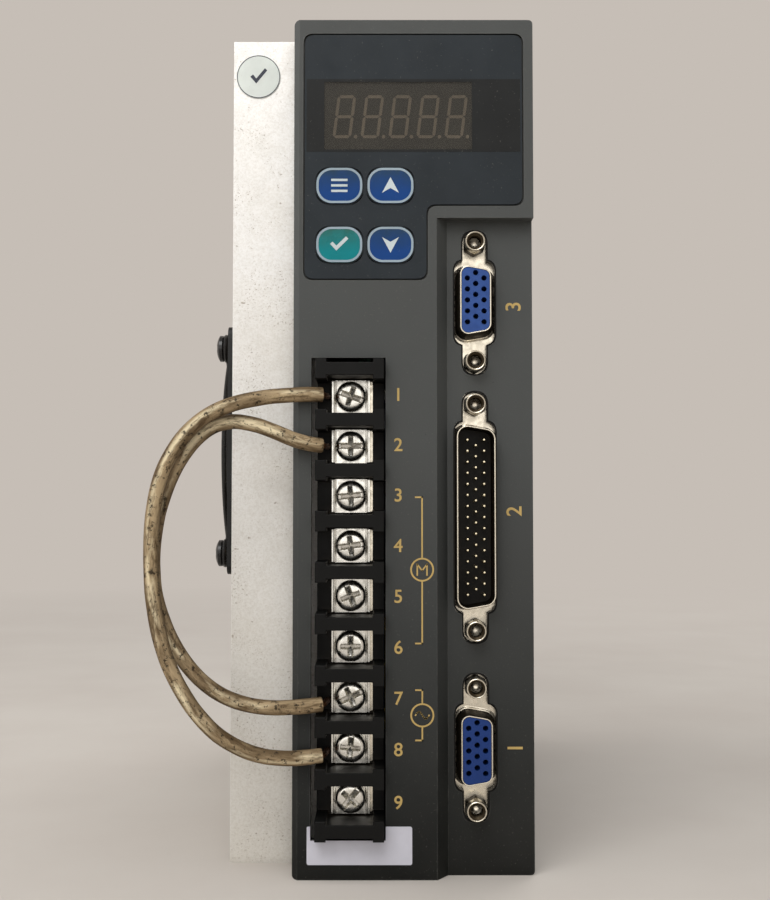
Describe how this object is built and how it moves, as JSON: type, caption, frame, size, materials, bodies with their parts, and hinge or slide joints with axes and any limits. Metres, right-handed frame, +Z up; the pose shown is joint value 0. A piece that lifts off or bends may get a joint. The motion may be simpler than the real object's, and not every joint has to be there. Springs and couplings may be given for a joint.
{
  "type": "servo drive",
  "caption": "Upright book-style servo drive: grey case, side heat sink with fan, keypad and display, barrier terminal block, D-sub connectors and two jumper wires.",
  "frame": {"origin": "middle of the rear fixing face, straight behind the middle of the front cover", "axes": "+Z up along the case, +Y back out of the rear fixing face, +X to the right seen from the front"},
  "size_m": [0.08, 0.1519, 0.178],
  "materials": {
    "cast_aluminium": "matte cast aluminium, fine dark speckle",
    "housing": "fine-textured moulded plastic",
    "membrane": "smooth satin film",
    "window_tint": "smoky gloss film",
    "display_black": "matte, segments unlit",
    "key_blue": "satin film",
    "key_teal": "satin film",
    "block_black": "moulded, satin",
    "board_green": "solder mask",
    "winding_tape": "yellow tape over a ferrite core",
    "capacitor_sleeve": "shrink sleeve",
    "fan_black": "moulded, satin",
    "black_steel": "black lacquered steel",
    "screw_steel": "zinc plated, worn",
    "nickel": "nickel plated, slightly dull",
    "dsub_blue": "moulded",
    "label_white": "paper label, blank",
    "wire_beige": "dirty PVC insulation"
  },
  "bodies": {
    "drive": {"heat_sink": "cast_aluminium", "case_shell": "housing", "front_cover": "housing", "keypad_overlay": "membrane", "display_window": "window_tint", "terminal_block": "block_black", "cn1_shell": "nickel", "cn1_insulator": "dsub_blue", "cn1_jackscrew_upper": "nickel", "cn1_jackscrew_lower": "nickel", "cn2_shell": "nickel", "cn2_insulator": "block_black", "cn2_jackscrew_upper": "nickel", "cn2_jackscrew_lower": "nickel", "cn3_shell": "nickel", "cn3_insulator": "dsub_blue", "cn3_jackscrew_upper": "nickel", "cn3_jackscrew_lower": "nickel", "control_board": "board_green", "power_board": "board_green", "display_board": "board_green", "led_display": "display_black", "power_module": "block_black", "capacitor_1": "capacitor_sleeve", "capacitor_2": "capacitor_sleeve", "capacitor_3": "capacitor_sleeve", "transformer": "winding_tape", "fan_frame": "fan_black", "fan_guard": "black_steel", "fan_screw_1": "black_steel", "fan_screw_2": "black_steel", "fan_screw_3": "black_steel", "fan_screw_4": "black_steel", "terminal_label": "label_white", "fin_sticker": "label_white", "jumper_outer": "wire_beige", "jumper_inner": "wire_beige"},
    "fan_rotor": {"fan_rotor": "fan_black"},
    "key_menu": {"key_menu": "key_blue"},
    "key_up": {"key_up": "key_blue"},
    "key_set": {"key_set": "key_teal"},
    "key_down": {"key_down": "key_blue"},
    "terminal_1": {"terminal_screw_1": "screw_steel", "terminal_washer_1": "screw_steel"},
    "terminal_2": {"terminal_screw_2": "screw_steel", "terminal_washer_2": "screw_steel"},
    "terminal_3": {"terminal_screw_3": "screw_steel", "terminal_washer_3": "screw_steel"},
    "terminal_4": {"terminal_screw_4": "screw_steel", "terminal_washer_4": "screw_steel"},
    "terminal_5": {"terminal_screw_5": "screw_steel", "terminal_washer_5": "screw_steel"},
    "terminal_6": {"terminal_screw_6": "screw_steel", "terminal_washer_6": "screw_steel"},
    "terminal_7": {"terminal_screw_7": "screw_steel", "terminal_washer_7": "screw_steel"},
    "terminal_8": {"terminal_screw_8": "screw_steel", "terminal_washer_8": "screw_steel"},
    "terminal_9": {"terminal_screw_9": "screw_steel", "terminal_washer_9": "screw_steel"}
  },
  "joints": [
    {"name": "fan_spin", "type": "hinge", "parent": "drive", "child": "fan_rotor", "pos_m": [-0.04, -0.074, 0.0005], "axis": [1, 0, 0], "continuous": true},
    {"name": "key_menu_press", "type": "slide", "parent": "drive", "child": "key_menu", "axis": [0, 1, 0], "range_m": [0, 0.0004], "stiffness_N_per_m": 3000},
    {"name": "key_up_press", "type": "slide", "parent": "drive", "child": "key_up", "axis": [0, 1, 0], "range_m": [0, 0.0004], "stiffness_N_per_m": 3000},
    {"name": "key_set_press", "type": "slide", "parent": "drive", "child": "key_set", "axis": [0, 1, 0], "range_m": [0, 0.0004], "stiffness_N_per_m": 3000},
    {"name": "key_down_press", "type": "slide", "parent": "drive", "child": "key_down", "axis": [0, 1, 0], "range_m": [0, 0.0004], "stiffness_N_per_m": 3000},
    {"name": "terminal_screw_1_back_out", "type": "slide", "parent": "drive", "child": "terminal_1", "axis": [0, -1, 0], "range_m": [0, 0.003]},
    {"name": "terminal_screw_2_back_out", "type": "slide", "parent": "drive", "child": "terminal_2", "axis": [0, -1, 0], "range_m": [0, 0.003]},
    {"name": "terminal_screw_3_back_out", "type": "slide", "parent": "drive", "child": "terminal_3", "axis": [0, -1, 0], "range_m": [0, 0.003]},
    {"name": "terminal_screw_4_back_out", "type": "slide", "parent": "drive", "child": "terminal_4", "axis": [0, -1, 0], "range_m": [0, 0.003]},
    {"name": "terminal_screw_5_back_out", "type": "slide", "parent": "drive", "child": "terminal_5", "axis": [0, -1, 0], "range_m": [0, 0.003]},
    {"name": "terminal_screw_6_back_out", "type": "slide", "parent": "drive", "child": "terminal_6", "axis": [0, -1, 0], "range_m": [0, 0.003]},
    {"name": "terminal_screw_7_back_out", "type": "slide", "parent": "drive", "child": "terminal_7", "axis": [0, -1, 0], "range_m": [0, 0.003]},
    {"name": "terminal_screw_8_back_out", "type": "slide", "parent": "drive", "child": "terminal_8", "axis": [0, -1, 0], "range_m": [0, 0.003]},
    {"name": "terminal_screw_9_back_out", "type": "slide", "parent": "drive", "child": "terminal_9", "axis": [0, -1, 0], "range_m": [0, 0.003]}
  ]
}
